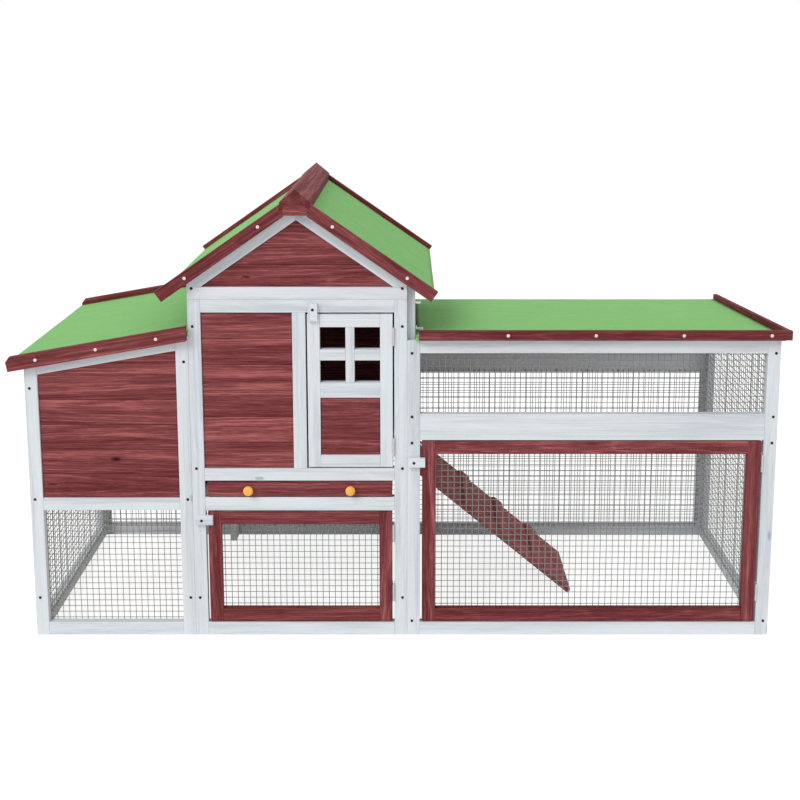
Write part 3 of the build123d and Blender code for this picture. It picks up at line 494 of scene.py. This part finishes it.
def lay_felt(node):
    """Each sheet as a fine grid over the board, with its cut edge and its back in bitumen."""
    shape = bmesh.new()
    for faces in solids_of(node):
        sheet = bench(faces)
        top = max(sheet.faces, key=lambda f: f.calc_area() * (f.normal.z > 0.5))
        up = top.normal.copy()
        corners = [v.co.copy() for v in top.verts]
        thick = max((corners[0] - v.co).dot(up) for v in sheet.verts)
        sheet.free()
        sides = corners[1] - corners[0], corners[3] - corners[0]
        counts = [max(2, round(side.length / FELT_CELL)) for side in sides]
        grid = []
        for i in range(counts[0] + 1):
            for j in range(counts[1] + 1):
                p = corners[0] + sides[0] * (i / counts[0]) + sides[1] * (j / counts[1])
                grid.append(shape.verts.new(p - up * FELT_WAVE * (1 + felt_wave(p.x, p.y))))
        rows = counts[1] + 1
        for i in range(counts[0]):
            for j in range(counts[1]):
                k = i * rows + j
                shape.faces.new((grid[k], grid[k + rows], grid[k + rows + 1], grid[k + 1]))
        rim = [i * rows for i in range(counts[0] + 1)]
        rim += [counts[0] * rows + j for j in range(1, rows)]
        rim += [i * rows + counts[1] for i in range(counts[0] - 1, -1, -1)]
        rim += [j for j in range(counts[1] - 1, 0, -1)]
        rises = [(grid[k].co - corners[0]).dot(up) for k in rim]
        under = [shape.verts.new(grid[k].co - up * (rise + thick)) for k, rise in zip(rim, rises)]
        for a in range(len(rim)):
            b = (a + 1) % len(rim)
            edge = shape.faces.new((grid[rim[b]], grid[rim[a]], under[a], under[b]))
            edge.material_index = 1
        shape.faces.new(under).material_index = 1
    mesh = plain_mesh(shape, f"{node}_sheet")
    mesh.materials.append(GREEN_FELT)
    mesh.materials.append(BITUMEN)
    for polygon in mesh.polygons:
        polygon.use_smooth = polygon.material_index == 0
    stand_for(stand(f"{node}_sheet", mesh), node)


for node in ("nest_roof_felt", "gable_roof_felt", "run_roof_felt"):
    lay_felt(node)

# Where a fascia stops short of the tower, the felt is folded down over the board's bare end and under it
FOLD = 0.0012
UNDERFOLD = 0.0003


def turn_down(roof, side):
    """The end of a roof board that its fascias leave bare, wrapped in felt."""
    end = bench(solids_of(f"{roof}_roof_panel")[0])
    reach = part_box(f"{roof}_roof_fascias")[side > 0].x
    everything = list(end.verts) + list(end.edges) + list(end.faces)
    cut = {"plane_co": (reach, 0, 0), "plane_no": (side, 0, 0), "clear_inner": True}
    bmesh.ops.bisect_plane(end, geom=everything, **cut)
    bmesh.ops.holes_fill(end, edges=[edge for edge in end.edges if edge.is_boundary])
    bmesh.ops.translate(end, verts=end.verts, vec=(side * FOLD, -FOLD, -UNDERFOLD))
    mesh = plain_mesh(end, f"{roof}_roof_fold")
    mesh.materials.append(GREEN_FELT)
    piece = stand(f"{roof}_roof_fold", mesh)
    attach(piece, frame["nodes"][f"{roof}_roof_felt"]["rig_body"])


turn_down("nest", 1)
turn_down("run", -1)

# ---------------------------------------------------------------- fascias, barges and ridge
# Stained boards that trim the roofs: fascias along the nest's slope, barges up the gables with an apex block
# between them, and a solid ridge cap over both roof boards.
TRIM_SHADE = 1.5
# The ridge cap is stained darkest: partly its own darker stain, partly painted shade that cancels the painted
# highlight its upward slopes get.
RIDGE_SHADE = 3.0
for node in ("nest_roof_fascias", "barge_boards", "run_roof_fascias"):
    plane_timbers(node, "stained", RED_STAIN, darker=TRIM_SHADE)
plane_timbers("apex_blocks", "stained", RED_STAIN, along=LEVEL_X, darker=TRIM_SHADE)
plane_timbers("ridge_cap", "stained", RED_STAIN, along=LEVEL_Y, darker=RIDGE_SHADE)

# ---------------------------------------------------------------- screws
# Black oxide pan heads hold the posts and the turn-buttons, and bright zinc ones the fascias. Each has a
# cross recess, and no two stand turned alike.
HEAD_SIDES = 16
RECESS_DEPTH = 0.0006
BLACK_HEAD, BRIGHT_HEAD = 0.0036, 0.0042
SPIN_SEED = 5
CLOUD_SCALE = 160.0
ROUGHNESS_SPREAD = 0.08


def metal(name, colour, metallic, roughness, cloudy):
    """Bare or plated metal, slightly clouded in colour and in gloss."""
    material, tree, surface = new_material(name, roughness)
    place = add(tree, "ShaderNodeTexCoord", out=3)
    cloud = add(tree, "ShaderNodeTexNoise", place, None, CLOUD_SCALE, 3.0, 0.6)
    darker = tuple(x * (1 - cloudy) for x in colour[:3]) + (1,)
    tree.links.new(mixed(tree, cloud, colour, darker), surface.inputs["Base Color"])
    glossiest, dullest = roughness - ROUGHNESS_SPREAD, roughness + ROUGHNESS_SPREAD
    rough = add(tree, "ShaderNodeMapRange", cloud, 0.3, 0.7, glossiest, dullest)
    tree.links.new(rough, surface.inputs["Roughness"])
    surface.inputs["Metallic"].default_value = metallic
    return material


BLACK_OXIDE = metal("black_oxide", srgb(44, 43, 44), 0.7, 0.42, 0.3)
BRIGHT_ZINC = metal("bright_zinc", srgb(236, 228, 224), 0.6, 0.4, 0.12)


def skin(shape, rings):
    """Faces from each ring of corners to the next, and one over each end."""
    for low, high in zip(rings, rings[1:]):
        for a in range(len(low)):
            b = (a + 1) % len(low)
            shape.faces.new((low[a], low[b], high[b], high[a]))
    shape.faces.new(rings[-1])
    shape.faces.new(list(reversed(rings[0])))


def screw_head(radius, height):
    """One pan head that looks along +Z from its seat at 0, with its recess in rings of corners."""
    shape = bmesh.new()

    def ring(reach, z, arm=None):
        corners = []
        for side in range(HEAD_SIDES):
            turn = math.tau * (side + 0.5) / HEAD_SIDES
            on_arm = side % 4 in (0, 3)
            r = reach if arm is None or not on_arm else arm
            corners.append(shape.verts.new((r * radius * math.cos(turn), r * radius * math.sin(turn), z)))
        return corners

    dome = [ring(1, 0), ring(1, height * 0.35), ring(0.86, height * 0.8), ring(0.66, height)]
    recess = [ring(0.24, height, 0.56), ring(0.18, height - RECESS_DEPTH, 0.46)]
    skin(shape, dome + recess)
    return stand("screw_head", plain_mesh(shape, "screw_head"))


def new_tree(name, **sizes):
    """A Geometry Nodes tree with a Geometry input and named sizes."""
    tree = bpy.data.node_groups.new(name, "GeometryNodeTree")
    tree.interface.new_socket("Geometry", in_out="INPUT", socket_type="NodeSocketGeometry")
    for size, value in sizes.items():
        socket = tree.interface.new_socket(size, in_out="INPUT", socket_type="NodeSocketFloat")
        socket.default_value = value
    tree.interface.new_socket("Geometry", in_out="OUTPUT", socket_type="NodeSocketGeometry")
    return tree, tree.nodes.new("NodeGroupInput").outputs


def end_tree(tree, geometry, material):
    """Every tree ends as plain faces of one material."""
    real = add(tree, "GeometryNodeRealizeInstances", geometry)
    done = tree.nodes.new("GeometryNodeSetMaterial")
    done.inputs["Material"].default_value = material
    tree.links.new(real, done.inputs["Geometry"])
    out = tree.nodes.new("NodeGroupOutput")
    tree.links.new(done.outputs[0], out.inputs[0])


def grown(name, seed_mesh, tree, **sizes):
    """The plain mesh that a tree makes of a seed mesh."""
    seed = stand(name, seed_mesh)
    modifier = seed.modifiers.new(name, "NODES")
    modifier.node_group = tree
    names = {item.name: item.identifier for item in tree.interface.items_tree if item.in_out == "INPUT"}
    for size, value in sizes.items():
        modifier[names[size]] = value
    evaluated = seed.evaluated_get(bpy.context.evaluated_depsgraph_get())
    mesh = bpy.data.meshes.new_from_object(evaluated)
    bpy.data.objects.remove(seed)
    mesh.name = name
    return stand(name, mesh)


def extent(faces):
    """The lowest and the highest corner of a solid."""
    points = [point for face in faces for point in face]
    return Vector(map(min, zip(*points))), Vector(map(max, zip(*points)))


def screw_tree(name, head, material):
    """A head on each point, turned to face along the point's own way out and spun at random."""
    tree, inputs = new_tree(name, Spin=math.tau)
    heads = tree.nodes.new("GeometryNodeObjectInfo")
    heads.inputs["Object"].default_value = head
    way = add(tree, "GeometryNodeInputNamedAttribute", "way_out", data_type="FLOAT_VECTOR")
    facing = add(tree, "FunctionNodeAlignRotationToVector", None, None, way, axis="Z")
    spin = tree.nodes.new("FunctionNodeRandomValue")
    spin.data_type = "FLOAT"
    tree.links.new(inputs["Spin"], spin.inputs[3])
    spin.inputs["Seed"].default_value = SPIN_SEED
    turn = add(tree, "ShaderNodeCombineXYZ", 0.0, 0.0, spin.outputs[1])
    turn = add(tree, "FunctionNodeEulerToRotation", turn)
    rotation = add(tree, "FunctionNodeRotateRotation", facing, turn, rotation_space="LOCAL")
    on_points = tree.nodes.new("GeometryNodeInstanceOnPoints")
    tree.links.new(inputs["Geometry"], on_points.inputs["Points"])
    tree.links.new(heads.outputs["Geometry"], on_points.inputs["Instance"])
    tree.links.new(rotation, on_points.inputs["Rotation"])
    end_tree(tree, on_points.outputs[0], material)
    return tree


def drive_screws(node, radius, material):
    """Heads where the CAD screws have theirs: the head is each solid's wide end."""
    seats, ways, height = [], [], 0
    for faces in solids_of(node):
        low, high = extent(faces)
        middle = (low + high) / 2
        points = [point for face in faces for point in face]
        wide_y = [y for x, y, z in points if math.hypot(x - middle.x, z - middle.z) > radius * 0.9]
        out = -1 if max(wide_y) < middle.y else 1
        seats.append(Vector((middle.x, max(wide_y) if out < 0 else min(wide_y), middle.z)))
        ways.append((0, out, 0))
        height = max(wide_y) - min(wide_y)
    mesh = bpy.data.meshes.new(f"{node}_seats")
    mesh.from_pydata(seats, [], [])
    way = mesh.attributes.new("way_out", "FLOAT_VECTOR", "POINT")
    way.data.foreach_set("vector", [x for w in ways for x in w])
    head = screw_head(radius, height)
    piece = grown(f"{node}_heads", mesh, screw_tree(node, head, material))
    bpy.data.objects.remove(head)
    stand_for(piece, node)


drive_screws("frame_screws", BLACK_HEAD, BLACK_OXIDE)
drive_screws("fascia_screws", BRIGHT_HEAD, BRIGHT_ZINC)
drive_screws("run_roof_screws", BRIGHT_HEAD, BRIGHT_ZINC)

# ---------------------------------------------------------------- welded mesh
# Sheets of galvanised wire in two layers, welded where they cross with a small bead of zinc. Staples driven
# over every few wires hold each sheet's edges to the back of its frame.
WIRE_SIDES = 8
WIRE_DIAMETER = 0.0018
WELD_SPREAD = 1.3
STAPLE_WIDTH = 0.009
STAPLE_LEG = 0.0055
STAPLE_WIRE = 0.001
STAPLE_SETBACK = 0.0035
WIRES_TO_A_STAPLE = 6
THICKEST_WIRE = 0.005
GALVANISED = metal("galvanised_wire", srgb(142, 145, 144), 0.3, 0.5, 0.2)


def staple_shape():
    """A staple that looks along +Z: two legs under a crown with clipped corners, its foot at 0."""
    out, leg, wire = STAPLE_WIDTH / 2, -STAPLE_LEG, STAPLE_WIRE
    inner = out - wire
    outline = [(-out, leg), (-out, wire / 2), (-inner, wire), (inner, wire), (out, wire / 2), (out, leg)]
    outline += [(inner, leg), (inner, 0), (-inner, 0), (-inner, leg)]
    shape = bmesh.new()
    skin(shape, [[shape.verts.new((x, y, z)) for x, z in outline] for y in (-wire / 2, wire / 2)])
    return stand("staple", plain_mesh(shape, "staple"))


def wire_tree(staple):
    """Wires along the edges, and on the loose points a bead at each weld and a staple at each fixing."""
    tree, inputs = new_tree("welded_wire", Diameter=WIRE_DIAMETER, Spread=WELD_SPREAD)
    radius = sums(tree, "DIVIDE", inputs["Diameter"], 2.0)
    section = tree.nodes.new("GeometryNodeCurvePrimitiveCircle")
    section.inputs["Resolution"].default_value = WIRE_SIDES
    tree.links.new(radius, section.inputs["Radius"])
    wires = tree.nodes.new("GeometryNodeCurveToMesh")
    tree.links.new(add(tree, "GeometryNodeMeshToCurve", inputs["Geometry"]), wires.inputs["Curve"])
    tree.links.new(section.outputs[0], wires.inputs["Profile Curve"])
    wires.inputs["Fill Caps"].default_value = True
    bead = tree.nodes.new("GeometryNodeMeshIcoSphere")
    bead.inputs["Subdivisions"].default_value = 1
    tree.links.new(sums(tree, "MULTIPLY", radius, inputs["Spread"]), bead.inputs["Radius"])
    fixing = tree.nodes.new("GeometryNodeObjectInfo")
    fixing.inputs["Object"].default_value = staple
    ways = [
        add(tree, "GeometryNodeInputNamedAttribute", name, data_type="FLOAT_VECTOR")
        for name in ("way_out", "way_across")
    ]
    facing = add(tree, "FunctionNodeAxesToRotation", *ways, primary_axis="Z", secondary_axis="X")
    both = tree.nodes.new("GeometryNodeJoinGeometry")
    tree.links.new(wires.outputs[0], both.inputs[0])
    placed = (("weld", bead.outputs[0], None), ("staple", fixing.outputs["Geometry"], facing))
    for chosen, shape, rotation in placed:
        on_points = tree.nodes.new("GeometryNodeInstanceOnPoints")
        tree.links.new(inputs["Geometry"], on_points.inputs["Points"])
        tree.links.new(shape, on_points.inputs["Instance"])
        here = add(tree, "GeometryNodeInputNamedAttribute", chosen, data_type="FLOAT")
        tree.links.new(here, on_points.inputs["Selection"])
        if rotation:
            tree.links.new(rotation, on_points.inputs["Rotation"])
        tree.links.new(on_points.outputs[0], both.inputs[0])
    end_tree(tree, both.outputs[0], GALVANISED)
    return tree


STAPLE = staple_shape()
WELDED_WIRE = wire_tree(STAPLE)
AXES = (Vector((1, 0, 0)), Vector((0, 1, 0)), Vector((0, 0, 1)))


def weave_mesh(node):
    """Gives the tree each CAD wire's centre line, the places where two of them cross, and the fixings."""
    lines = []
    for faces in solids_of(node):
        low, high = extent(faces)
        long = max(range(3), key=lambda i: high[i] - low[i])
        a, b = (low + high) / 2, (low + high) / 2
        a[long], b[long] = low[long], high[long]
        lines.append((long, a, b))
    diameter = min(b - a for a, b in zip(low, high) if b - a < THICKEST_WIRE)
    ends = [p for _, a, b in lines for p in (a, b)]
    edges = [(2 * i, 2 * i + 1) for i in range(len(lines))]
    uprights = [wire for wire in lines if wire[0] == 2]
    welds, thin_of = [], {}
    for long, a, b in lines:
        if long == 2:
            continue
        thin = 1 - long
        for _, foot, head in uprights:
            touching = abs(foot[thin] - a[thin]) < diameter * 1.5
            if touching and a[long] < foot[long] < b[long] and foot.z < a.z < head.z:
                weld = (foot + a) / 2
                weld[long], weld.z = foot[long], a.z
                welds.append(weld)
                thin_of[tuple(foot)] = thin
    fixings, ways_out, ways_across = [], [], []
    for number, (long, a, b) in enumerate(lines):
        thin = 1 - long if long < 2 else thin_of.get(tuple(a), 1)
        if number % WIRES_TO_A_STAPLE:
            continue
        out = AXES[thin] * (1 if a[thin] < 0 else -1)
        for end, back in ((a, 1), (b, -1)):
            fixings.append(end + AXES[long] * back * STAPLE_SETBACK + out * diameter / 2)
            ways_out.append(out)
            ways_across.append(AXES[3 - long - thin])
    points = ends + welds + fixings
    mesh = bpy.data.meshes.new(f"{node}_lines")
    mesh.from_pydata(points, edges, [])
    first, second = len(ends), len(ends) + len(welds)
    for name, chosen in (("weld", range(first, second)), ("staple", range(second, len(points)))):
        mark = mesh.attributes.new(name, "FLOAT", "POINT")
        mark.data.foreach_set("value", [float(i in chosen) for i in range(len(points))])
    for name, ways in (("way_out", ways_out), ("way_across", ways_across)):
        way = mesh.attributes.new(name, "FLOAT_VECTOR", "POINT")
        way.data.foreach_set("vector", [0.0] * 3 * second + [x for w in ways for x in w])
    piece = grown(f"{node}_wires", mesh, WELDED_WIRE, Diameter=diameter)
    piece.data.shade_smooth()
    stand_for(piece, node)


for node in ("nest_mesh", "tower_back_mesh", "run_mesh"):
    weave_mesh(node)

# ---------------------------------------------------------------- coop door
# A small painted door: stiles and rails round a window of four open lights and a boarded panel.
plane_timbers("coop_door_frame", "painted", WHITE_PAINT)

# ---------------------------------------------------------------- wire doors
# Stained frames with welded mesh behind, one under the tower and one in the run.
for door in ("lower_door", "run_door"):
    plane_timbers(f"{door}_frame", "stained", RED_STAIN, darker=TRIM_SHADE)
    weave_mesh(f"{door}_mesh")
bpy.data.objects.remove(STAPLE)

# ---------------------------------------------------------------- hinges and hooks
# Pressed steel butt hinges, zinc plated, in the doors' gaps and along the run's roof, and two bent straps
# that hang the ramp on the doorway's sill.
SHEET_ARRIS = 0.0003
SHEET_CORNER = math.radians(35)
ZINC_PLATE = metal("zinc_plate", srgb(204, 206, 208), 0.9, 0.36, 0.15)
for node in (
    "frame_hinge_leaves", "hinge_pins", "coop_door_hinge_leaves", "lower_door_hinge_leaves",
    "run_door_hinge_leaves", "run_roof_hinge_leaves", "ramp_hooks",
):
    leaves = plane_timbers(node, "pressed", ZINC_PLATE, SHEET_ARRIS)
    leaves.data.shade_smooth()
    leaves.data.set_sharp_from_angle(angle=SHEET_CORNER)

# ---------------------------------------------------------------- turn-buttons
# Short painted blocks that turn on a screw and hold each door shut.
for node in ("coop_turn_button", "lower_turn_button", "run_turn_button"):
    plane_timbers(node, "painted", WHITE_PAINT)

# ---------------------------------------------------------------- tray
# A galvanised sheet under a bare rim, with a stained front and two turned, varnished knobs.
plane_timbers("tray_front", "stained", RED_STAIN)
plane_timbers("tray_rim", "planed", BARE_WOOD)
TRAY_SHEET = metal("tray_sheet", srgb(176, 180, 182), 0.9, 0.4, 0.3)
plane_timbers("tray_base", "rolled", TRAY_SHEET, SHEET_ARRIS)
VARNISHED = wood_material(
    "knob_varnish", srgb(255, 196, 96), srgb(242, 172, 74), srgb(224, 144, 54), srgb(150, 90, 40),
    figure=(0.3, 0.2, 0.3, 0.2, 0.1, 0.0), knots=0.0, roughness=0.35, specular=0.5, bump=0.1,
)
KNOB_SIDES = 32
low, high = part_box("tray_knobs")
knob_middle = (low.z + high.z) / 2
knob_radius = (high.z - low.z) / 2
knob_length = high.y - low.y
# The turned profile, as shares of the radius and of the length, from the tray's front outwards
KNOB_PROFILE = (
    (0.50, 0.0), (0.47, 0.10), (0.46, 0.22), (0.52, 0.32), (0.70, 0.40), (0.88, 0.48), (0.97, 0.58),
    (1.0, 0.68), (0.97, 0.78), (0.88, 0.87), (0.72, 0.94), (0.50, 0.98), (0.25, 1.0),
)
bundle = Bundle()
for x in (low.x + knob_radius, high.x - knob_radius):
    shape = bmesh.new()
    rings = []
    for share, reach in KNOB_PROFILE:
        r, y = share * knob_radius, high.y - reach * knob_length
        turns = [math.tau * side / KNOB_SIDES for side in range(KNOB_SIDES)]
        corners = [(x + r * math.cos(turn), y, knob_middle + r * math.sin(turn)) for turn in turns]
        rings.append([shape.verts.new(corner) for corner in corners])
    skin(shape, rings)
    bmesh.ops.recalc_face_normals(shape, faces=shape.faces)
    bundle.take(shape, LEVEL_Y)
piece = bundle.piece("tray_knobs_turned", VARNISHED)
piece.data.shade_smooth()
stand_for(piece, "tray_knobs")

# ---------------------------------------------------------------- ramp
# One stained board with chamfered cleats nailed across it as steps. Board and cleats are stained paler all
# over: painted light that lifts the shade they stand in under the roof.
RAMP_PAINTED_LIGHT = 3
plane_timbers("ramp_board", "stained", RED_STAIN, darker=-RAMP_PAINTED_LIGHT)
plane_timbers("ramp_cleats", "stained", RED_STAIN, along=LEVEL_Y, darker=-RAMP_PAINTED_LIGHT)
